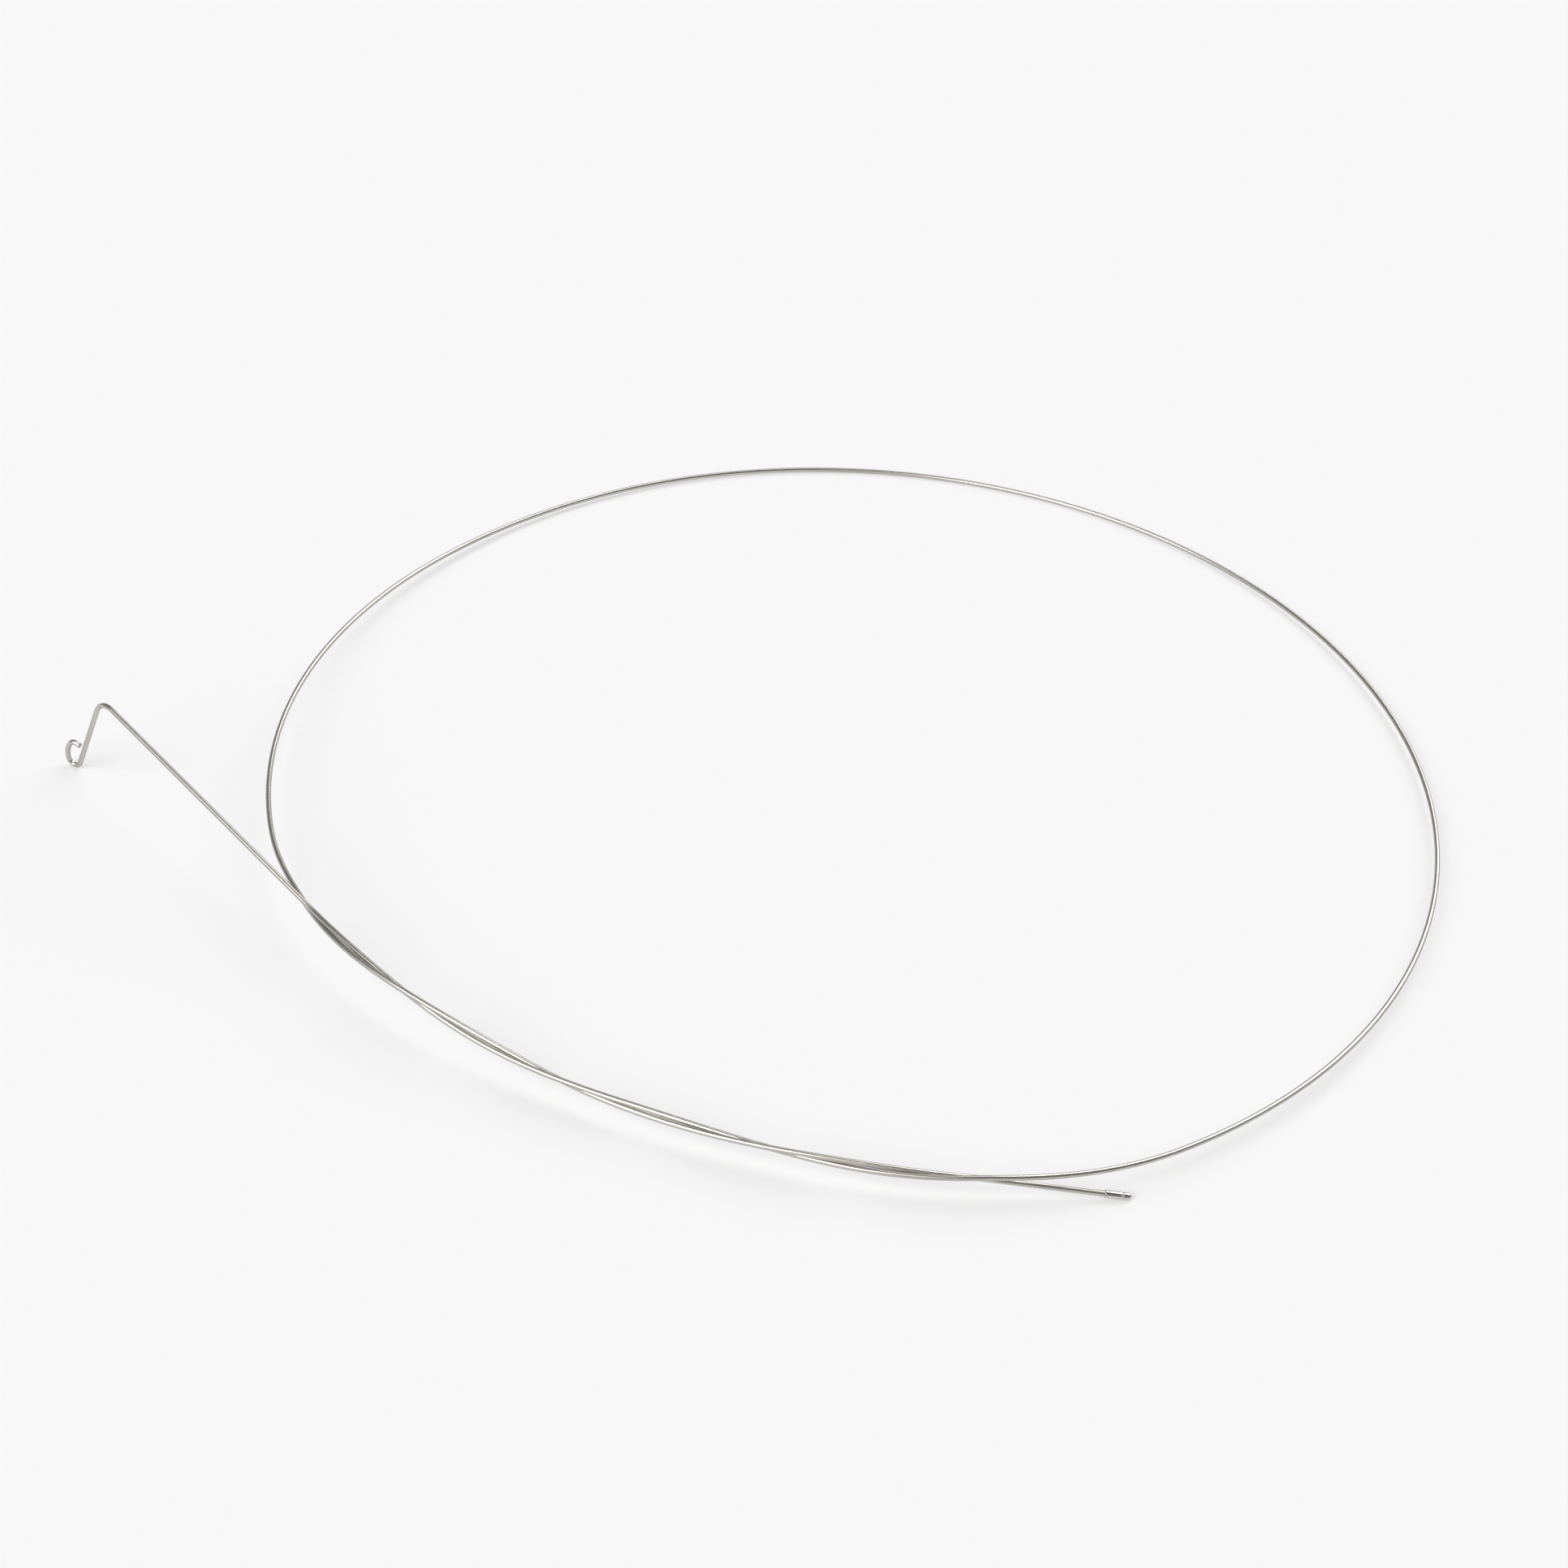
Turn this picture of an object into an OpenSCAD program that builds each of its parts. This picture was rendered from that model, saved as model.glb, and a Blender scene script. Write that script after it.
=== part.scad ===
// Door seal clamp ring
// A hoop of spring wire that holds a rubber door seal in its groove. The wire's two ends
// overlap and are twisted round each other. The first end runs on straight, bends down and
// closes into a small eye. The last end carries a crimped ferrule.
// Plan angles run anticlockwise from +X, seen from above. The hoop lies as it comes to rest,
// on its far side, the bottom of the eye and the head of the ferrule, with the surface at Z = 0.

/* [Wire] */
// Diameter of the spring wire
wire_d = 1.2; // [0.8:0.1:1.6]

/* [Hoop] */
// Diameter of the hoop, measured along the middle of the wire
hoop_d = 280; // [240:5:340]
// How much higher the hoop is opposite its low side
tilt = 5.2; // [2:0.1:8]
// Plan angle of the low side, where the hoop touches the surface
low_side = 74; // [60:1:90]
// How far the twist stands up above the tilted hoop
lift = 5.2; // [2:0.1:8]
// Plan angle of the highest part of the lift
lift_at = -146.5; // [-150:0.5:-135]
// Plan angle over which the lift dies away towards the ferrule
lift_to_ferrule = 35; // [30:1:60]
// Plan angle over which the lift dies away towards the plain side of the hoop
lift_to_hoop = 85; // [60:1:95]

/* [Twist] */
// Gap between the two strands
strand_gap = 0.1; // [0.05:0.05:0.3]
// Side of the pair that the hook's strand lies on at the first crossing, 0 outside, 90 on top
crossing_lean = 55; // [30:1:80]
// How far the pair lies inside the hoop's circle, because two strands bend less than one
flattening = 14; // [8:0.5:18]
// Plan angle of the flattest part
flattest_at = -110.5; // [-115:0.5:-105]
// Plan angle from there to where the hoop is round again
flattening_reach = 51.5; // [45:0.5:56]
// Plan angle over which each strand swings from the twist onto the hoop
merge_reach = 12; // [8:1:30]
// Plan angle at which the straight run leaves the twist
run_at = -149; // [-151:0.5:-146]
// Plan angle at which the tail leaves the twist
tail_at = -78; // [-80:0.5:-77]
// Radius of the easy bend where a free end leaves the twist
leaving_r = 20; // [10:1:30]

/* [Hook] */
// Length of the straight run between the twist and the hook
run_len = 73.8; // [50:0.1:90]
// Angle by which the straight run swings out from the hoop
run_splay = 16.8; // [12:0.1:25]
// Angle by which the straight run rises
run_rise = 9.7; // [6:0.1:14]
// Radius of the bend at the top of the hook
bend_r = 5.4; // [2:0.1:7]
// Angle between the run and the leg, seen from above
leg_swing = 19; // [0:0.1:30]
// Slope of the leg below the level
leg_slope = 67.8; // [55:0.1:80]

/* [Eye] */
// Radius of the foot of the eye
eye_foot_r = 1.7; // [1.3:0.1:3]
// Angle that the foot turns through
eye_foot_turn = 149; // [135:1:160]
// Radius of the eye's long outer side
eye_side_r = 6.5; // [4.5:0.1:9]
// Angle that the side turns through
eye_side_turn = 48; // [40:1:60]
// Radius of the top of the eye
eye_top_r = 1.5; // [1.2:0.1:3]
// Angle that the top turns through
eye_top_turn = 68; // [55:1:80]
// Gap left between the cut end and the leg
eye_gap = 0.6; // [0.3:0.1:1]

/* [Tail] */
// Length of the tail's straight stretch, up to the far end of the ferrule
tail_len = 32.9; // [20:0.1:45]
// Angle by which the tail swings out from the hoop
tail_splay = 9.5; // [6:0.1:20]

/* [Ferrule] */
// Outside diameter of the crimped sleeve
sleeve_d = 1.7; // [1.6:0.1:3]
// Length of the sleeve
sleeve_len = 3.3; // [2.5:0.1:6]
// Gap all round between the wire and the sleeve's bore
socket_gap = 0.03; // [0.02:0.01:0.05]
// Depth of the blind bore that takes the wire
socket_depth = 3; // [2:0.1:5]
// Diameter of the neck behind the head
neck_d = 1.3; // [0.8:0.1:1.5]
// Length of the neck
neck_len = 0.5; // [0.3:0.1:2]
// Diameter of the rounded head
head_d = 1.7; // [1.6:0.1:3]
// Length of the head, its round end included
head_len = 1.9; // [1.2:0.1:4]

/* [Hidden] */

// Plan angles where one strand crosses over the other, from the hook to the ferrule
crossings = [-153, -136, -117, -95, -76];

// Corners of the wire's section, plan angle between two of its rings on the hoop, and turn
// between two rings in a tight bend
wire_sides = 12;
ring_step = 2.5;
bend_step = 9;
// Corners of a circle in the ferrule
$fn = 48;
// Steps in the easy bend where a free end leaves the twist
leaving_steps = 3;
// Small plan angle used to find a strand's heading, and rounds of trial for the tail's slope
nudge = 0.01;
trial_rounds = 4;

wire_r = wire_d / 2;
hoop_r = hoop_d / 2;
strand_r = (wire_d + strand_gap) / 2;
first_crossing = crossings[0];
last_crossing = crossings[len(crossings) - 1];
// Plan angle opposite the twist, where the path changes from the hook's strand to the ferrule's
far_side = (first_crossing + last_crossing) / 2 + 180;
head_r = head_d / 2;

// Vectors and angles
function unit(v) = v / norm(v);
function wrapped(a) = a > 180 ? wrapped(a - 360) : a < -180 ? wrapped(a + 360) : a;
function heading(plan, rise) = [cos(plan) * cos(rise), sin(plan) * cos(rise), sin(rise)];

// Smooth steps: eased goes from 0 to 1 as x does, bump falls from 1 in the middle to 0 at 1
function eased(x) = x <= 0 ? 0 : x >= 1 ? 1 : x * x * (3 - 2 * x);
function bump(x) = abs(x) >= 1 ? 0 : cos(90 * x) ^ 2;

// Height of the hoop's middle line: a tilted circle, raised where it is twisted
function hoop_z(a) =
    let (d = wrapped(a - lift_at))
    wire_r + tilt * (1 - cos(a - low_side)) / 2
    + lift * bump(d / (d > 0 ? lift_to_ferrule : lift_to_hoop));

// Distance of the middle line from the hoop's axis: a circle, drawn in where it is twisted
function hoop_reach(a) =
    let (x = wrapped(a - flattest_at) / flattening_reach)
    hoop_r - (abs(x) >= 1 ? 0 : flattening * (1 - x * x) ^ 2);

// Turn of the pair round its own middle: half a turn from each crossing to the next
function twist_at(a) =
    let (n = len(crossings) - 2,
         k = len([for (i = [1 : n]) if (a > crossings[i]) i]))
    crossing_lean + 180 * (k + (a - crossings[k]) / (crossings[k + 1] - crossings[k]));

// How much of the twist a strand follows: all of it between the crossings, then it merges.
// side is 1 for the hook's strand and -1 for the ferrule's.
function hold(a, side) =
    side > 0 ? 1 - eased((a - last_crossing) / merge_reach)
             : 1 - eased((first_crossing - a) / merge_reach);

// Point on a strand, in the plane square to the hoop, out and up from the middle line. Plan
// angles run from the straight run's for the hook's strand, and back from the tail's for the
// ferrule's strand.
function strand(a, side) =
    let (t = twist_at(a), r = side * strand_r * hold(a, side), out = hoop_reach(a) + r * cos(t))
    [out * cos(a), out * sin(a), hoop_z(a) + r * sin(t)];

// Arc from point p, setting off along d and curving towards n, without its first point
function arc(p, d, n, r, turn, steps) =
    [for (i = [1 : steps]) let (a = turn * i / steps) p + r * (sin(a) * d + (1 - cos(a)) * n)];
function steps_for(turn) = max(2, ceil(turn / bend_step));

// Bend from heading d round to heading e
function bend_turn(d, e) = acos(min(1, d * e));
function bend(p, d, e, r, steps) = arc(p, d, unit(e - d * (d * e)), r, bend_turn(d, e), steps);
function last(list) = list[len(list) - 1];

// Straight run: sets off back along the hook's strand, swings out and rises
run_start = strand(run_at, 1);
run_back = unit(run_start - strand(run_at + nudge, 1));
run_plan = run_at - 90 + run_splay;
run_along = heading(run_plan, run_rise);
run_turn = bend(run_start, run_back, run_along, leaving_r, leaving_steps);
run_end = last(run_turn) + run_len * run_along;

// Leg: bends down from the run and stops where the foot of the eye rests on the surface
leg_plan = run_plan + leg_swing;
leg_along = heading(leg_plan, -leg_slope);
hook_turn = steps_for(bend_turn(run_along, leg_along));
hook_bend = bend(run_end, run_along, leg_along, bend_r, hook_turn);
leg_start = last(hook_bend);
foot_z = wire_r + eye_foot_r * (1 - cos(leg_slope));
leg_end = leg_start + (leg_start.z - foot_z) / sin(leg_slope) * leg_along;

// Eye, in the leg's plane: the foot, the side and the top turn on round, then the wire goes
// straight back towards the leg and is cut off short of it
function eye_arc(start, rise, r, turn) =
    arc(start, heading(leg_plan, rise), heading(leg_plan, rise + 90), r, turn, steps_for(turn));
side_rise = eye_foot_turn - leg_slope;
top_rise = side_rise + eye_side_turn;
eye_foot = eye_arc(leg_end, -leg_slope, eye_foot_r, eye_foot_turn);
eye_side = eye_arc(last(eye_foot), side_rise, eye_side_r, eye_side_turn);
eye_top = eye_arc(last(eye_side), top_rise, eye_top_r, eye_top_turn);
cut_along = heading(leg_plan, top_rise + eye_top_turn);
off_leg = heading(leg_plan, 90 - leg_slope);
cut_len = ((last(eye_top) - leg_end) * off_leg - wire_r - eye_gap) / -(cut_along * off_leg);
eye_end = last(eye_top) + cut_len * cut_along;

// Tail: sets off along the ferrule's strand, swings out and falls until the ferrule's head
// rests on the surface. A few rounds of trial find the slope.
tail_start = strand(tail_at, -1);
tail_ahead = unit(strand(tail_at + nudge, -1) - tail_start);
tail_plan = tail_at + 90 - tail_splay;
function tail_turn(fall) = bend(tail_start, tail_ahead, heading(tail_plan, -fall), leaving_r,
                                leaving_steps);
function tail_drop(fall) = last(tail_turn(fall)).z - head_r;
function settled(fall, rounds) =
    rounds < 1 ? fall : settled(asin(tail_drop(fall) / (tail_len - head_r)), rounds - 1);
tail_fall = settled(0, trial_rounds);
tail_along = heading(tail_plan, -tail_fall);
ferrule_len = sleeve_len + neck_len + head_len;
ferrule_start = last(tail_turn(tail_fall)) + (tail_len - ferrule_len) * tail_along;
wire_end = ferrule_start + (socket_depth - socket_gap) * tail_along;

// Whole path of the wire, from the cut end of the eye to the end inside the ferrule
function backwards(list) = [for (i = [len(list) - 1 : -1 : 0]) list[i]];
hoop_span = 360 + tail_at - run_at;
hoop_steps = ceil(hoop_span / ring_step);
hoop_path = [for (i = [0 : hoop_steps]) let (a = run_at + hoop_span * i / hoop_steps)
             a < far_side ? strand(a, 1) : strand(a - 360, -1)];
wire_path = concat(
    backwards(concat(run_turn, [run_end], hook_bend, [leg_end], eye_foot, eye_side, eye_top,
                     [eye_end])),
    hoop_path, tail_turn(tail_fall), [wire_end]);

// Heading of the path at each of its points
function headings(path) =
    [for (i = [0 : len(path) - 1])
     unit(path[min(i + 1, len(path) - 1)] - path[max(i - 1, 0)])];

// A direction square to each heading, turned as little as possible from one to the next
function squared(v, h) = unit(v - h * (v * h));
function squares(h) =
    [for (i = 0, v = squared([0, 0, 1], h[0]); i < len(h);
          i = i + 1, v = i < len(h) ? squared(v, h[i]) : v) v];

// Solid of a round section carried along a path, closed at both ends
module sweep(path, r, sides) {
    along = headings(path);
    across = squares(along);
    rings = len(path);
    points = [for (i = [0 : rings - 1], j = [0 : sides - 1])
              let (a = 360 * j / sides)
              path[i] + r * (cos(a) * across[i] + sin(a) * cross(along[i], across[i]))];
    walls = [for (i = [0 : rings - 2], j = [0 : sides - 1])
             let (k = (j + 1) % sides, here = i * sides, next = here + sides)
             [here + j, next + j, next + k, here + k]];
    start = [for (j = [0 : sides - 1]) j];
    end = [for (j = [sides - 1 : -1 : 0]) (rings - 1) * sides + j];
    polyhedron(points = points, faces = concat(walls, [start, end]), convexity = 10);
}

// The spring wire, all in one piece: eye, hook, twist, hoop and tail
module clamp_wire() {
    color("silver") sweep(wire_path, wire_r, wire_sides);
}

// Outline of the ferrule's head, half of it, with the neck's end at the origin
module head_outline() {
    intersection() {
        square([head_r, head_len]);
        union() {
            square([head_r, head_len - head_r]);
            translate([0, head_len - head_r]) circle(r = head_r);
        }
    }
}

// Ferrule crimped on the wire's last end: a sleeve with a blind bore, a neck, a round head
module end_ferrule() {
    color("gainsboro")
    translate(ferrule_start) rotate([0, 90 + tail_fall, tail_plan])
    difference() {
        union() {
            cylinder(h = sleeve_len, d = sleeve_d);
            cylinder(h = sleeve_len + neck_len, d = neck_d);
            translate([0, 0, sleeve_len + neck_len]) rotate_extrude() head_outline();
        }
        translate([0, 0, -socket_depth])
            cylinder(h = 2 * socket_depth, d = wire_d + 2 * socket_gap);
    }
}

clamp_wire();
end_ferrule();
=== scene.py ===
"""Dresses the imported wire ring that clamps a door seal: a drawn spring wire, twisted where its
ends overlap, with a hook and an open eye on one end and a polished ferrule on the other."""

import math

import bpy
import numpy as np
from mathutils import Matrix, Vector


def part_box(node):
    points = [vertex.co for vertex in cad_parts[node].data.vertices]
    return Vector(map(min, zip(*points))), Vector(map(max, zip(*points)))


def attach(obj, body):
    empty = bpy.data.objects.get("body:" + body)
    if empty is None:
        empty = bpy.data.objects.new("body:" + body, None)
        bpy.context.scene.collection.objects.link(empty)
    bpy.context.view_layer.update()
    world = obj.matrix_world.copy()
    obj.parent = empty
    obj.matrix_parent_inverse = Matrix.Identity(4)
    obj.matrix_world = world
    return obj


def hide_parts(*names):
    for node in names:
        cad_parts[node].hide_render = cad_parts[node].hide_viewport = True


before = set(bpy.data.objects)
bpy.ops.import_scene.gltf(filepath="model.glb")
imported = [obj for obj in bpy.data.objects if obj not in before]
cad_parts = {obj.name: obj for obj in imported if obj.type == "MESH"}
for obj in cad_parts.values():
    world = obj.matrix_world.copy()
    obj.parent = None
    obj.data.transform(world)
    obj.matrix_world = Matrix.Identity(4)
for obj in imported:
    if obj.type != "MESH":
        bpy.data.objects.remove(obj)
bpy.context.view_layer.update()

bl_info = {
    "name": "Door seal clamp ring",
    "version": (1, 0, 0),
    "blender": (4, 5, 0),
    "location": "3D View > Sidebar > Clamp ring",
    "description": "Builds a twisted spring wire ring with a hook, an eye and a crimped ferrule",
    "category": "Add Mesh",
}

MM = 0.001
NUDGE = 1e-4  # Small angle, in radians, used to find which way a strand runs
TRIALS = 4  # Rounds that settle how steeply the tail falls
BOX_SLACK = 0.1 * MM  # Most by which a piece's box may miss its node's
BODY = "root"


# Properties


def length(name, description, mm):
    """A size, given in millimetres and kept in metres."""
    return bpy.props.FloatProperty(
        name=name, description=description, default=mm * MM, precision=5, unit="LENGTH"
    )


def angle(name, description, degrees):
    """An angle, given in degrees and kept in radians."""
    return bpy.props.FloatProperty(
        name=name, description=description, default=math.radians(degrees), unit="ROTATION"
    )


def level(name, description, value, top=1.0):
    """A plain number from 0 to top."""
    return bpy.props.FloatProperty(
        name=name, description=description, default=value, min=0.0, max=top
    )


def colour(name, description, rgb):
    """A colour, in linear light."""
    return bpy.props.FloatVectorProperty(
        name=name, description=description, default=rgb, size=3, min=0.0, max=1.0, subtype="COLOR"
    )


class HoopSizes(bpy.types.PropertyGroup):
    """The hoop and the twist where the wire's two ends overlap, as the solid has them."""

    wire_d: length("Wire", "Diameter of the spring wire", 1.2)
    hoop_d: length("Hoop", "Diameter of the hoop, middle to middle of the wire", 280)
    tilt: length("Tilt", "How much higher the hoop's high side is than its low side", 5.2)
    low_side: angle("Low side", "Plan angle of the side that rests on the surface", 74)
    lift: length("Lift", "How far the twist is lifted by the hook's leg", 5.2)
    lift_at: angle("Lift at", "Plan angle where the lift is greatest", -146.5)
    lift_to_ferrule: angle("Lift to ferrule", "Angle over which the lift dies away", 35)
    lift_to_hoop: angle("Lift to hoop", "Angle over which it dies away the other way", 85)
    strand_gap: length("Strand gap", "Gap between the two strands of the twist", 0.1)
    crossing_lean: angle("Lean", "Side that the hook's strand lies on at a crossing", 55)
    flattening: length("Flattening", "How far the pair lies inside the hoop's circle", 14)
    flattest_at: angle("Flattest at", "Plan angle of the flattest part", -110.5)
    flattening_reach: angle("Flattening reach", "Angle from there to the round hoop", 51.5)
    merge_reach: angle("Merge", "Angle over which a strand swings onto the hoop", 12)
    crossings: bpy.props.FloatVectorProperty(
        name="Crossings",
        description="Plan angles where one strand crosses over the other",
        default=[math.radians(a) for a in (-153, -136, -117, -95, -76)],
        size=5,
        unit="ROTATION",
    )
    run_at: angle("Run at", "Plan angle at which the straight run leaves the twist", -149)
    tail_at: angle("Tail at", "Plan angle at which the tail leaves the twist", -78)
    leaving_r: length("Leaving radius", "Easy bend where an end leaves the twist", 20)


class HookSizes(bpy.types.PropertyGroup):
    """The straight run, the hook's leg and the open eye."""

    run_len: length("Run", "Length of the straight run", 73.8)
    run_splay: angle("Run splay", "Angle by which the run swings out from the hoop", 16.8)
    run_rise: angle("Run rise", "Angle by which the run rises", 9.7)
    bend_r: length("Hook radius", "Radius of the bend at the top of the hook", 5.4)
    leg_swing: angle("Leg swing", "Angle between the run and the leg, from above", 19)
    leg_slope: angle("Leg slope", "Slope of the leg below the level", 67.8)
    foot_r: length("Eye foot", "Radius of the foot of the eye", 1.7)
    foot_turn: angle("Eye foot turn", "Angle that the foot turns through", 149)
    side_r: length("Eye side", "Radius of the slack side of the eye", 6.5)
    side_turn: angle("Eye side turn", "Angle that the side turns through", 48)
    top_r: length("Eye top", "Radius of the top of the eye", 1.5)
    top_turn: angle("Eye top turn", "Angle that the top turns through", 68)
    eye_gap: length("Eye gap", "Gap left between the cut end and the leg", 0.6)
    cut_edge: length("Cut edge", "Rounding left by the cutter on the wire's end", 0.12)


class TailSizes(bpy.types.PropertyGroup):
    """The tail and the ferrule crimped on it."""

    tail_len: length("Tail", "Straight stretch, up to the far end of the ferrule", 32.9)
    tail_splay: angle("Tail splay", "Angle by which the tail swings out", 9.5)
    sleeve_d: length("Sleeve", "Outside diameter of the sleeve", 1.7)
    sleeve_len: length("Sleeve length", "Length of the sleeve", 3.3)
    socket_gap: length("Socket gap", "Gap between the wire and the sleeve's bore", 0.03)
    socket_depth: length("Socket", "Depth of the blind bore that takes the wire", 3)
    neck_d: length("Neck", "Diameter of the neck behind the head", 1.3)
    neck_len: length("Neck length", "Length of the neck", 0.5)
    head_d: length("Head", "Diameter of the rounded head", 1.7)
    head_len: length("Head length", "Length of the head, its round end included", 1.9)


class RingFinish(bpy.types.PropertyGroup):
    """Colours and polish of the two pieces."""

    wire_light: colour("Wire", "Drawn stainless wire where it is clean", (0.6, 0.575, 0.53))
    wire_dull: colour("Dull wire", "The wire where handling has dulled it", (0.485, 0.46, 0.415))
    wire_rough: level("Wire roughness", "Roughness of the drawn surface", 0.25)
    edge_tint: level("Edge tint", "How far the worn wire still shines at its edges", 0.55)
    sheared: colour("Cut face", "Fresh steel where the wire is cut off", (0.86, 0.85, 0.83))
    ferrule: colour("Ferrule", "Polished ferrule", (0.63, 0.612, 0.58))
    ferrule_rough: level("Ferrule roughness", "Roughness of the polish", 0.14)


class StudioSettings(bpy.types.PropertyGroup):
    """Camera, floor and lamps."""

    camera_distance: length("Camera distance", "From the hoop's middle to the camera", 685.4)
    camera_height: angle("Camera height", "Angle of the camera above the level", 39.06)
    camera_roll: angle("Camera roll", "Turn of the camera about its own line of sight", -3.7)
    camera_lens: bpy.props.FloatProperty(
        name="Lens", description="Focal length on a 36 mm sensor", default=64.66, min=1.0
    )
    camera_shift: bpy.props.FloatVectorProperty(
        name="Shift", description="Shift across and up", default=(-0.04666, 0.00138), size=2
    )
    floor: colour("Floor", "The plain pale floor", (0.885, 0.885, 0.885))
    plainness: level("Plainness", "How far the seen floor keeps its own tone, lit or not", 0.45)
    horizon: level("Horizon", "Soft light from all round, low down", 0.38, 3.0)
    overhead: level("Overhead", "Soft light from straight above", 0.04, 3.0)
    back_at: angle("Back lamp at", "Plan angle of the lamp on the right and behind", 51)
    back_rise: angle("Back lamp rise", "Angle of that lamp above the level", 45)
    back_lamp: level("Back lamp", "Share of the light from the right and behind", 0.36, 2.0)
    back_width: angle("Back lamp width", "How wide the back lamp looks from the ring", 50)
    front_at: angle("Front lamp at", "Plan angle of the lamp at the front left", 226)
    front_rise: angle("Front lamp rise", "Angle of that lamp above the level", 42)
    front_lamp: level("Front lamp", "Share of the light from the front left", 0.42, 2.0)
    front_width: angle("Front lamp width", "How wide the front lamp looks from the ring", 48)
    spill: level("Spill", "Soft light from round each lamp, at its brightest", 0.5, 3.0)
    gathering: level("Gathering", "How closely the spill keeps to its lamp", 7.0, 50.0)
    floor_reach: bpy.props.FloatProperty(
        name="Floor reach", description="From the middle to each side", default=4.0, unit="LENGTH"
    )


# Curves in space


def unit(v):
    """Each row of v at length 1."""
    return v / np.linalg.norm(v, axis=-1, keepdims=True)


def heading(plan, rise):
    """Unit vector at a plan angle, rising from the level."""
    return np.array(
        [np.cos(plan) * np.cos(rise), np.sin(plan) * np.cos(rise), np.sin(rise)]
    )


def wrapped(a):
    """Angle a brought between minus and plus half a turn."""
    return (a + np.pi) % (2 * np.pi) - np.pi


def eased(x):
    """Goes from 0 to 1 as x does, level at both ends: three x squared less two x cubed."""
    x = np.clip(x, 0, 1)
    return x * x * (3 - 2 * x)


def bump(x):
    """Falls from 1 at 0 to 0 at 1 and beyond: the square of the cosine of a quarter turn of x."""
    return np.cos(np.pi / 2 * np.clip(x, -1, 1)) ** 2


def hoop_height(a, h):
    """Height of the hoop's middle line: a tilted circle, raised by a bump where it is twisted."""
    d = wrapped(a - h.lift_at)
    reach = np.where(d > 0, h.lift_to_ferrule, h.lift_to_hoop)
    return h.wire_d / 2 + h.tilt * (1 - np.cos(a - h.low_side)) / 2 + h.lift * bump(d / reach)


def hoop_reach(a, h):
    """Distance of the middle line from the hoop's axis: a circle drawn in by the flattening
    times the square of one less x squared, x being 1 where the hoop is round again."""
    x = np.clip(wrapped(a - h.flattest_at) / h.flattening_reach, -1, 1)
    return h.hoop_d / 2 - h.flattening * (1 - x * x) ** 2


def strand(a, side, h):
    """Points on one strand of the pair, in the plane square to the hoop, out and up from the
    middle line. The pair turns half a turn from each crossing to the next, and each strand
    lets go of it past the last crossing. side is 1 for the hook's strand, -1 for the other."""
    crossings = np.array(h.crossings)
    halves = np.interp(a, crossings, np.arange(len(crossings)))
    turn = h.crossing_lean + np.pi * halves
    past = a - crossings[-1] if side > 0 else crossings[0] - a
    r = side * (h.wire_d + h.strand_gap) / 2 * (1 - eased(past / h.merge_reach))
    out = hoop_reach(a, h) + r * np.cos(turn)
    up = hoop_height(a, h) + r * np.sin(turn)
    return np.stack([out * np.cos(a), out * np.sin(a), up], -1)


def arc(start, along, towards, r, turn, step):
    """Arc of radius r from a point, setting off along one way and curving towards another
    square to it. Gives its points after the first and the heading at each."""
    a = turn * np.linspace(0, 1, max(2, math.ceil(r * turn / step)) + 1)[1:, None]
    points = start + r * (np.sin(a) * along + (1 - np.cos(a)) * towards)
    return points, np.cos(a) * along + np.sin(a) * towards


def bend(start, along, new, r, step):
    """Arc that turns from one heading to another in the plane of both."""
    turn = math.acos(min(1.0, float(along @ new)))
    return arc(start, along, unit(new - along * (along @ new)), r, turn, step)


def straight(start, along, far, step):
    """Points every step along a straight stretch after its start, with their headings."""
    t = np.linspace(0, far, max(1, math.ceil(far / step)) + 1)[1:, None]
    return start + t * along, np.repeat(along[None], len(t), 0)


def upright_arc(start, plan, rise, r, turn, step):
    """Arc that curves upwards in the upright plane of a plan angle, setting off at a rise."""
    return arc(start, heading(plan, rise), heading(plan, rise + np.pi / 2), r, turn, step)


def level_side(plan):
    """Level unit vector on the right of someone who walks along a plan angle."""
    return heading(plan - np.pi / 2, 0.0)


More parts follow.
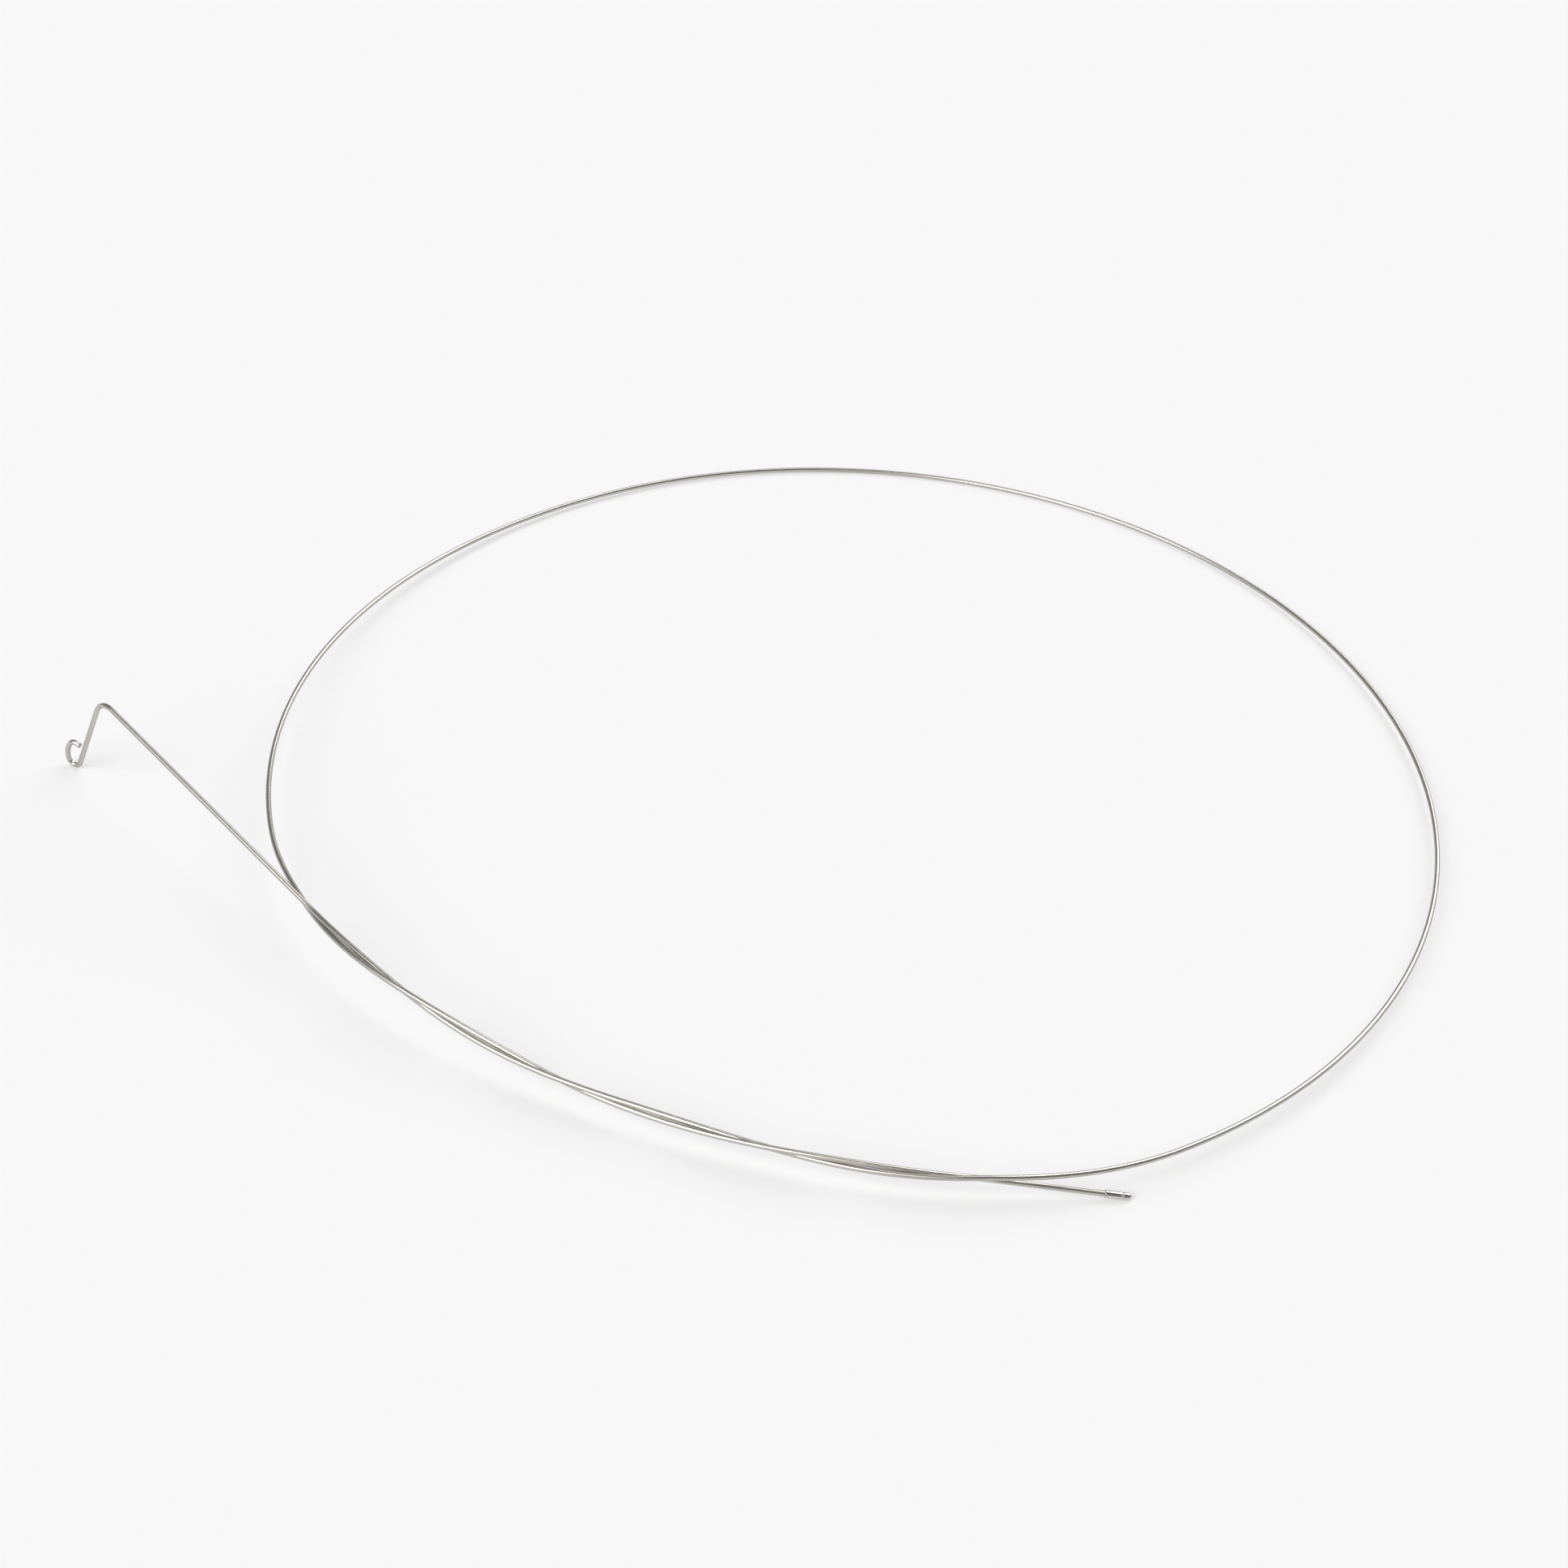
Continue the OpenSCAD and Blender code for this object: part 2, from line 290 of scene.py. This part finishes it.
def run_and_eye(h, k, fine):
    """Straight run, hook, leg and eye, worked out from the twist outwards and then turned
    round, so that they start at the eye's cut end. The eye is three arcs in the leg's upright
    plane and a straight end, cut where it comes within the gap of the leg. The side that goes
    with each heading is level, and swings from the leg's to the run's over the hook's bend."""
    start = strand(np.array(h.run_at), 1, h)
    back = unit(start - strand(np.array(h.run_at) + NUDGE, 1, h))
    run_plan = h.run_at - np.pi / 2 + k.run_splay
    run_along = heading(run_plan, k.run_rise)
    leg_plan = run_plan + k.leg_swing
    leg_along = heading(leg_plan, -k.leg_slope)
    off_leg = heading(leg_plan, np.pi / 2 - k.leg_slope)

    leaving = bend(start, back, run_along, h.leaving_r, 4 * fine)
    run = straight(leaving[0][-1], run_along, k.run_len, 4 * fine)
    hook = bend(run[0][-1], run_along, leg_along, k.bend_r, fine)
    foot_z = h.wire_d / 2 + k.foot_r * (1 - math.cos(k.leg_slope))
    leg_len = (hook[0][-1][2] - foot_z) / math.sin(k.leg_slope)
    leg = straight(hook[0][-1], leg_along, leg_len, 2 * fine)
    leg_end = leg[0][-1]
    side_rise = k.foot_turn - k.leg_slope
    top_rise = side_rise + k.side_turn
    foot = upright_arc(leg_end, leg_plan, -k.leg_slope, k.foot_r, k.foot_turn, fine / 2)
    side = upright_arc(foot[0][-1], leg_plan, side_rise, k.side_r, k.side_turn, fine)
    top = upright_arc(side[0][-1], leg_plan, top_rise, k.top_r, k.top_turn, fine / 2)
    cut_along = heading(leg_plan, top_rise + k.top_turn)
    clear = (top[0][-1] - leg_end) @ off_leg - h.wire_d / 2 - k.eye_gap
    cut = straight(top[0][-1], cut_along, clear / -(cut_along @ off_leg), fine)

    stretches = [leaving, run, hook, leg, foot, side, top, cut]
    points = np.concatenate([s[0] for s in stretches])
    headings = np.concatenate([s[1] for s in stretches])
    swing = np.concatenate(
        [np.zeros(len(leaving[0]) + len(run[0])), np.linspace(0, 1, len(hook[0]))]
    )
    swing = np.pad(swing, (0, len(points) - len(swing)), mode="edge")[:, None]
    sides = (1 - swing) * level_side(run_plan + np.pi) + swing * level_side(leg_plan + np.pi)
    return points[::-1], -headings[::-1], sides[::-1]


def twist_and_hoop(h, fine):
    """Once round the hoop and over the twist, from the run's strand to the tail's. Headings
    are the differences of neighbouring points, and the side is away from the hoop's axis."""
    span = 2 * np.pi + h.tail_at - h.run_at
    a = h.run_at + span * np.linspace(0, 1, math.ceil(h.hoop_d / 2 * span / (2 * fine)) + 1)
    far_side = (h.crossings[0] + h.crossings[-1]) / 2 + np.pi
    points = np.where(
        (a < far_side)[:, None], strand(a, 1, h), strand(a - 2 * np.pi, -1, h)
    )
    outwards = np.stack([np.cos(a), np.sin(a), np.zeros_like(a)], -1)
    return points, unit(np.gradient(points, axis=0)), outwards


def tail_line(h, t, fine):
    """The tail, from the twist to the wire's end in the ferrule. A few rounds of trial find
    the fall at which the ferrule's head rests on the surface. Gives the ferrule's mouth, its
    axis and the level side as well."""
    start = strand(np.array(h.tail_at), -1, h)
    ahead = unit(strand(np.array(h.tail_at) + NUDGE, -1, h) - start)
    plan = h.tail_at + np.pi / 2 - t.tail_splay
    head_r = t.head_d / 2
    fall = 0.0
    for _ in range(TRIALS):
        leaving = bend(start, ahead, heading(plan, -fall), h.leaving_r, 4 * fine)
        fall = math.asin((leaving[0][-1][2] - head_r) / (t.tail_len - head_r))
    along = heading(plan, -fall)
    leaving = bend(start, ahead, along, h.leaving_r, 4 * fine)
    bare = t.tail_len - t.sleeve_len - t.neck_len - t.head_len
    wire = straight(leaving[0][-1], along, bare + t.socket_depth - t.socket_gap, 4 * fine)
    points = np.concatenate([leaving[0], wire[0]])
    sides = np.repeat(level_side(plan)[None], len(points), 0)
    headings = np.concatenate([leaving[1], wire[1]])
    return points, headings, sides, leaving[0][-1] + bare * along, along, sides[0]


def carried(points, headings, sides, radii, corners):
    """Surface of a round section carried along a path: from each point, its radius times the
    cosine of the turn to the side, and times the sine square to both. Also gives each vertex's
    place if the piece were pulled straight: its section across, its length along."""
    across = unit(sides - headings * (sides * headings).sum(-1, keepdims=True))
    over = np.cross(headings, across)
    turn = 2 * np.pi * np.arange(corners) / corners
    x, y = radii[:, None] * np.cos(turn), radii[:, None] * np.sin(turn)
    places = points[:, None] + x[..., None] * across[:, None] + y[..., None] * over[:, None]
    steps = np.linalg.norm(np.diff(points, axis=0), axis=-1)
    along = np.concatenate([[0.0], np.cumsum(steps)])
    straightened = np.stack([x, y, np.broadcast_to(along[:, None], x.shape)], -1)
    return places, straightened


def softened(corners, cut, steps=5):
    """Outline with each inner corner cut back and bridged by a curve: the cut's start, the
    corner and its end, weighted by (1 - t) squared, 2 t (1 - t) and t squared."""
    tip = corners[1:-1]
    start = tip + np.minimum(cut, np.linalg.norm(corners[:-2] - tip, axis=1) / 2)[:, None] * unit(
        corners[:-2] - tip
    )
    end = tip + np.minimum(cut, np.linalg.norm(corners[2:] - tip, axis=1) / 2)[:, None] * unit(
        corners[2:] - tip
    )
    t = np.linspace(0, 1, steps)[:, None, None]
    curves = (1 - t) ** 2 * start + 2 * t * (1 - t) * tip + t**2 * end
    middle = curves.transpose(1, 0, 2).reshape(-1, 2)
    return np.concatenate([corners[:1], middle, corners[-1:]])


def closed_tube(name, places, straightened):
    """Mesh of rings joined one to the next, with a pole at the middle of each end ring."""
    rings, corners = places.shape[:2]
    here = np.arange(rings * corners).reshape(rings, corners)
    after = np.roll(here, -1, axis=1)
    walls = np.stack([here[:-1], after[:-1], after[1:], here[1:]], -1).reshape(-1, 4)
    pole = rings * corners
    first = np.stack([after[0], here[0], np.full(corners, pole)], -1)
    last = np.stack([here[-1], after[-1], np.full(corners, pole + 1)], -1)
    ends = places[[0, -1]].mean(axis=1)
    mesh = bpy.data.meshes.new(name)
    mesh.from_pydata(
        np.concatenate([places.reshape(-1, 3), ends]).tolist(),
        [],
        walls.tolist() + first.tolist() + last.tolist(),
    )
    mesh.shade_smooth()
    pulled = np.concatenate([straightened.reshape(-1, 3), straightened[[0, -1]].mean(axis=1)])
    mesh.attributes.new("straightened", "FLOAT_VECTOR", "POINT").data.foreach_set(
        "vector", pulled.astype(np.float32).ravel()
    )
    mesh.update()
    return mesh


def placed(name, mesh, material, node):
    """Object for a finished piece that stands for a node of the solid, after a check that it
    fills the same box."""
    low, high = (np.array(c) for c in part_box(node))
    co = np.empty(len(mesh.vertices) * 3, np.float32)
    mesh.vertices.foreach_get("co", co)
    co = co.reshape(-1, 3)
    gap = max(np.abs(co.min(0) - low).max(), np.abs(co.max(0) - high).max())
    if gap > BOX_SLACK:
        raise RuntimeError(f"{name} is {gap / MM:.2f} mm off the box of {node}")
    mesh.materials.append(material)
    piece = bpy.data.objects.new(name, mesh)
    bpy.context.scene.collection.objects.link(piece)
    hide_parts(node)
    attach(piece, BODY)
    return piece


# Materials


class Val:
    """A socket that can be used in a sum. Each operation adds its Math node."""

    def __init__(self, recipe, socket):
        self.recipe, self.socket = recipe, socket

    def math(self, operation, *values):
        return self.recipe.add("ShaderNodeMath", {"operation": operation}, *values)

    def __add__(self, other):
        return self.math("ADD", self, other)

    def __sub__(self, other):
        return self.math("SUBTRACT", self, other)

    def __mul__(self, other):
        return self.math("MULTIPLY", self, other)

    __radd__, __rmul__ = __add__, __mul__


class Recipe:
    """The nodes of one material, or of the world."""

    def __init__(self, owner):
        self.owner = owner
        owner.use_nodes = True
        self.tree = owner.node_tree
        self.tree.nodes.clear()

    def add(self, kind, settings=None, *values, output=0, **named):
        """One node: its settings are set first, then its sockets by place or by name, with _
        for a space. Gives the output of that name or number."""
        node = self.tree.nodes.new(kind)
        for key, value in (settings or {}).items():
            setattr(node, key, value)
        usable = [s for s in node.inputs if s.enabled]
        by_name = {s.name: s for s in reversed(usable)}
        pairs = list(zip(usable, values))
        pairs += [(by_name[key.replace("_", " ")], value) for key, value in named.items()]
        for socket, value in pairs:
            if isinstance(value, Val):
                self.tree.links.new(value.socket, socket)
            else:
                socket.default_value = value
        outputs = [s for s in node.outputs if s.enabled]
        if isinstance(output, str):
            return Val(self, node.outputs[output])
        return Val(self, outputs[output]) if outputs else None

    def grain(self, across, along, detail=2.0, roughness=0.5):
        """Noise about 0.5 on a piece's straightened places, with so many grains to the metre
        across the piece and along it."""
        drawn_out = self.add(
            "ShaderNodeVectorMath", {"operation": "MULTIPLY"}, self.straightened(),
            (across, across, along),
        )
        return self.add(
            "ShaderNodeTexNoise", None, Vector=drawn_out, Scale=1.0, Detail=detail,
            Roughness=roughness,
        )

    def straightened(self):
        """Place of each point if the piece were pulled straight, in metres."""
        return self.add("ShaderNodeAttribute", {"attribute_name": "straightened"}, output=1)

    def ramped(self, value, low, high):
        """0 on low's side, 1 on high's side and smooth between."""
        return self.add(
            "ShaderNodeMapRange", {"interpolation_type": "SMOOTHSTEP"},
            Value=value, From_Min=low, From_Max=high,
        )

    def blended(self, factor, a, b):
        """Colour a, going to colour b as factor goes to 1."""
        return self.add(
            "ShaderNodeMix", {"data_type": "RGBA"}, Factor=factor, A=a, B=b
        )

    def surface(self, plain=None, **sockets):
        """Ends the material in a Principled surface. plain is how far what the camera or a
        mirror sees of it is its plain colour, whatever the light on it."""
        shader = self.add("ShaderNodeBsdfPrincipled", None, **sockets)
        if plain:
            ways = ("Is Camera Ray", "Is Glossy Ray", "Is Transmission Ray")
            seen = sum(self.add("ShaderNodeLightPath", output=way) for way in ways)
            glow = self.add("ShaderNodeEmission", None, Color=sockets["Base_Color"])
            shader = self.add("ShaderNodeMixShader", None, seen * plain, shader, glow)
        self.add("ShaderNodeOutputMaterial", None, Surface=shader)
        return self.owner


def rgba(c):
    """A colour property with full alpha."""
    return (*c, 1.0)


def drawn_wire(f):
    """Drawn stainless spring wire. Fine lines run its length, from the die, and the tone and
    the polish wander slowly along it where it has been handled. The face left by the cutter is
    bright and rough."""
    r = Recipe(bpy.data.materials.new("drawn_spring_wire"))
    die_lines = r.grain(across=9000, along=70, detail=3.0, roughness=0.6)
    scuffs = r.ramped(r.grain(across=2500, along=900), low=0.58, high=0.72)
    handling = r.ramped(r.grain(across=500, along=45), low=0.35, high=0.7)
    dull = handling * 0.6 + scuffs * 0.25 + (die_lines - 0.5) * 0.5
    from_cut_end = r.add("ShaderNodeSeparateXYZ", None, r.straightened(), output=2)
    sheared = r.ramped(from_cut_end, low=0.08 * MM, high=0.02 * MM)
    bump = r.add(
        "ShaderNodeBump", None, Strength=0.45, Distance=0.01 * MM,
        Height=die_lines + scuffs * 0.4,
    )
    return r.surface(
        Base_Color=r.blended(
            sheared, r.blended(dull, rgba(f.wire_light), rgba(f.wire_dull)), rgba(f.sheared)
        ),
        Metallic=1.0,
        Specular_Tint=(f.edge_tint, f.edge_tint, f.edge_tint, 1.0),
        Roughness=f.wire_rough + (die_lines - 0.5) * 0.16 + handling * 0.08 + scuffs * 0.1
        + sheared * 0.3,
        Normal=bump,
    )


def polished_ferrule(f):
    """Turned and polished steel: faint rings round it, and fine wear in its tone and polish."""
    r = Recipe(bpy.data.materials.new("polished_ferrule"))
    rings = r.grain(across=300, along=16000)
    wear = r.grain(across=1800, along=1800, detail=3.0)
    bump = r.add(
        "ShaderNodeBump", None, Strength=0.2, Distance=0.006 * MM, Height=rings + wear * 0.3
    )
    return r.surface(
        Base_Color=r.blended(
            r.ramped(wear, low=0.45, high=0.8) * 0.5, rgba(f.ferrule), rgba(f.wire_light)
        ),
        Metallic=1.0,
        Roughness=f.ferrule_rough + (rings - 0.5) * 0.08 + (wear - 0.5) * 0.12,
        Normal=bump,
    )


# Operators


class CLAMPRING_OT_wire(bpy.types.Operator):
    """Sweep the round wire from the eye, over the hook and the twist, to the ferrule"""

    bl_idname = "clampring.wire"
    bl_label = "Spring wire"

    corners = 28
    edge_steps = 4
    fine = 0.5 * MM

    def execute(self, context):
        s = context.scene
        h, k, t = s.clampring_hoop, s.clampring_hook, s.clampring_tail
        parts = [run_and_eye(h, k, self.fine), twist_and_hoop(h, self.fine)]
        parts.append(tail_line(h, t, self.fine)[:3])
        points, headings, sides = (np.concatenate(p) for p in zip(*parts))
        radii = np.full(len(points), h.wire_d / 2)

        # The cutter leaves a rounded edge: the end's last rings draw in along a quarter circle
        quarter = np.linspace(0, np.pi / 2, self.edge_steps + 1)[1:]
        inwards = k.cut_edge * np.cos(quarter[::-1])
        edge = radii[0] - k.cut_edge + k.cut_edge * np.sin(quarter[::-1])
        edge = np.concatenate([[radii[0] - 1.5 * k.cut_edge], edge])
        setback = np.concatenate([[0.0], k.cut_edge - inwards])
        tip, away = points[0], headings[0]
        points = np.concatenate([tip + setback[:, None] * away, points[1:]])
        headings = np.concatenate([np.repeat(away[None], len(edge), 0), headings[1:]])
        sides = np.concatenate([np.repeat(sides[:1], len(edge), 0), sides[1:]])
        radii = np.concatenate([edge, radii[1:]])

        mesh = closed_tube(
            "spring_wire", *carried(points, headings, sides, radii, self.corners)
        )
        placed("spring_wire", mesh, drawn_wire(s.clampring_finish), "clamp_wire")
        return {"FINISHED"}


class CLAMPRING_OT_ferrule(bpy.types.Operator):
    """Turn the ferrule: an open sleeve, a groove and a rounded head"""

    bl_idname = "clampring.ferrule"
    bl_label = "Ferrule"

    corners = 48
    dome_steps = 11
    pole_share = 0.03
    soft = 0.09 * MM

    def execute(self, context):
        s = context.scene
        h, t = s.clampring_hoop, s.clampring_tail
        start, along, side = tail_line(h, t, CLAMPRING_OT_wire.fine)[3:]
        bore_r = h.wire_d / 2 + t.socket_gap
        sleeve_r, neck_r, head_r = t.sleeve_d / 2, t.neck_d / 2, t.head_d / 2
        neck_end = t.sleeve_len + t.neck_len
        round_at = neck_end + t.head_len - head_r

        # Radius and place along the axis, from the bottom of the bore to the head's round end
        outline = softened(
            np.array(
                [
                    [bore_r, t.socket_depth],
                    [bore_r, 0],
                    [sleeve_r, 0],
                    [sleeve_r, t.sleeve_len],
                    [neck_r, t.sleeve_len],
                    [neck_r, neck_end],
                    [head_r, neck_end],
                    [head_r, round_at],
                ]
            ),
            self.soft,
        )
        dome = np.linspace(0, np.pi / 2, self.dome_steps + 1)[1:-1]
        dome = np.stack([head_r * np.cos(dome), round_at + head_r * np.sin(dome)], -1)
        tip = [[head_r * self.pole_share, round_at + head_r]]
        radii, places = np.concatenate([outline, dome, tip]).T

        points = start + places[:, None] * along
        headings, sides = (np.repeat(v[None], len(points), 0) for v in (along, side))
        mesh = closed_tube("ferrule", *carried(points, headings, sides, radii, self.corners))
        placed("ferrule", mesh, polished_ferrule(s.clampring_finish), "end_ferrule")
        return {"FINISHED"}


class CLAMPRING_OT_studio(bpy.types.Operator):
    """Set up the camera, the pale floor and the soft lamps"""

    bl_idname = "clampring.studio"
    bl_label = "Studio"

    def execute(self, context):
        c = context.scene.clampring_studio
        self.camera(context.scene, c)
        self.floor(context.scene, c)
        back = heading(c.back_at, c.back_rise)
        front = heading(c.front_at, c.front_rise)
        self.world(context.scene, c, (back, front))
        self.lamp(context.scene, "back_lamp", back, c.back_lamp, c.back_width)
        self.lamp(context.scene, "front_lamp", front, c.front_lamp, c.front_width)
        context.scene.view_settings.view_transform = "Standard"
        return {"FINISHED"}

    def camera(self, scene, c):
        """Camera that looks at the hoop's middle from the front and above."""
        rise, roll = c.camera_height, c.camera_roll
        look = Vector((0.0, math.cos(rise), -math.sin(rise)))
        right, up = Vector((1, 0, 0)), Vector((0.0, math.sin(rise), math.cos(rise)))
        x = right * math.cos(roll) - up * math.sin(roll)
        y = right * math.sin(roll) + up * math.cos(roll)
        data = bpy.data.cameras.new("camera")
        data.lens = c.camera_lens
        data.shift_x, data.shift_y = c.camera_shift
        data.clip_start, data.clip_end = 0.01, 20.0
        camera = bpy.data.objects.new("camera", data)
        turned = Matrix((x, y, -look)).transposed().to_4x4()
        camera.matrix_world = Matrix.Translation(-look * c.camera_distance) @ turned
        scene.collection.objects.link(camera)
        scene.camera = camera

    def floor(self, scene, c):
        """Level pale floor, which keeps the ring's shadow faint."""
        r = Recipe(bpy.data.materials.new("pale_floor"))
        r.surface(
            plain=c.plainness, Base_Color=rgba(c.floor), Roughness=0.9, Specular_IOR_Level=0.0
        )
        mesh = bpy.data.meshes.new("floor")
        reach = c.floor_reach
        corners = [(-reach, -reach, 0), (reach, -reach, 0), (reach, reach, 0), (-reach, reach, 0)]
        mesh.from_pydata(corners, [], [(0, 1, 2, 3)])
        mesh.materials.append(r.owner)
        floor = bpy.data.objects.new("floor", mesh)
        scene.collection.objects.link(floor)

    def world(self, scene, c, lamps):
        """Soft light from all round, brightest low down, with a wide spill round each lamp: the
        exponential of the gathering times one less than the cosine of the angle from it. The
        camera sees the floor's tone there instead."""
        r = Recipe(bpy.data.worlds.new("studio"))
        towards = r.add("ShaderNodeTexCoord")
        height = r.add("ShaderNodeSeparateXYZ", None, towards, output=2)
        soft = c.horizon + (c.overhead - c.horizon) * height.math("ABSOLUTE", height)
        for lamp in lamps:
            facing = r.add(
                "ShaderNodeVectorMath", {"operation": "DOT_PRODUCT"}, towards, tuple(lamp),
                output="Value",
            )
            soft = soft + c.spill * facing.math("EXPONENT", (facing - 1) * c.gathering)
        light = r.add("ShaderNodeBackground", None, Color=(1, 1, 1, 1), Strength=soft)
        plain = r.add("ShaderNodeBackground", None, Color=rgba(c.floor), Strength=1.0)
        seen = r.add("ShaderNodeLightPath", output="Is Camera Ray")
        light = r.add("ShaderNodeMixShader", None, seen, light, plain)
        r.add("ShaderNodeOutputWorld", None, Surface=light)
        scene.world = r.owner

    def lamp(self, scene, name, towards, share, width):
        """Far soft lamp that adds its share of light to a level white surface."""
        away = Vector(towards)
        data = bpy.data.lights.new(name, "SUN")
        data.angle = width
        data.energy = share * math.pi / away.z
        lamp = bpy.data.objects.new(name, data)
        lamp.rotation_euler = away.to_track_quat("Z", "Y").to_euler()
        lamp.location = away
        scene.collection.objects.link(lamp)


class CLAMPRING_PT_panel(bpy.types.Panel):
    """Lists the sizes, the finish and the steps"""

    bl_idname = "CLAMPRING_PT_panel"
    bl_label = "Clamp ring"
    bl_space_type = "VIEW_3D"
    bl_region_type = "UI"
    bl_category = "Clamp ring"

    def draw(self, context):
        for group in GROUPS:
            box = self.layout.box()
            box.label(text=group.removeprefix("clampring_").capitalize())
            settings = getattr(context.scene, group)
            for name in settings.__annotations__:
                box.prop(settings, name)
        for operator in OPERATORS:
            self.layout.operator(operator.bl_idname)


GROUPS = {
    "clampring_hoop": HoopSizes,
    "clampring_hook": HookSizes,
    "clampring_tail": TailSizes,
    "clampring_finish": RingFinish,
    "clampring_studio": StudioSettings,
}
OPERATORS = (CLAMPRING_OT_wire, CLAMPRING_OT_ferrule, CLAMPRING_OT_studio)


def register():
    for kind in (*GROUPS.values(), *OPERATORS, CLAMPRING_PT_panel):
        bpy.utils.register_class(kind)
    for name, kind in GROUPS.items():
        setattr(bpy.types.Scene, name, bpy.props.PointerProperty(type=kind))


def unregister():
    for name in GROUPS:
        delattr(bpy.types.Scene, name)
    for kind in reversed((*GROUPS.values(), *OPERATORS, CLAMPRING_PT_panel)):
        bpy.utils.unregister_class(kind)


def main():
    """Builds the pieces, each checked against the box of the solid's node that it hides, and the
    studio.
    """
    register()
    bpy.ops.clampring.wire()
    bpy.ops.clampring.ferrule()
    bpy.ops.clampring.studio()


if __name__ == "__main__":
    main()
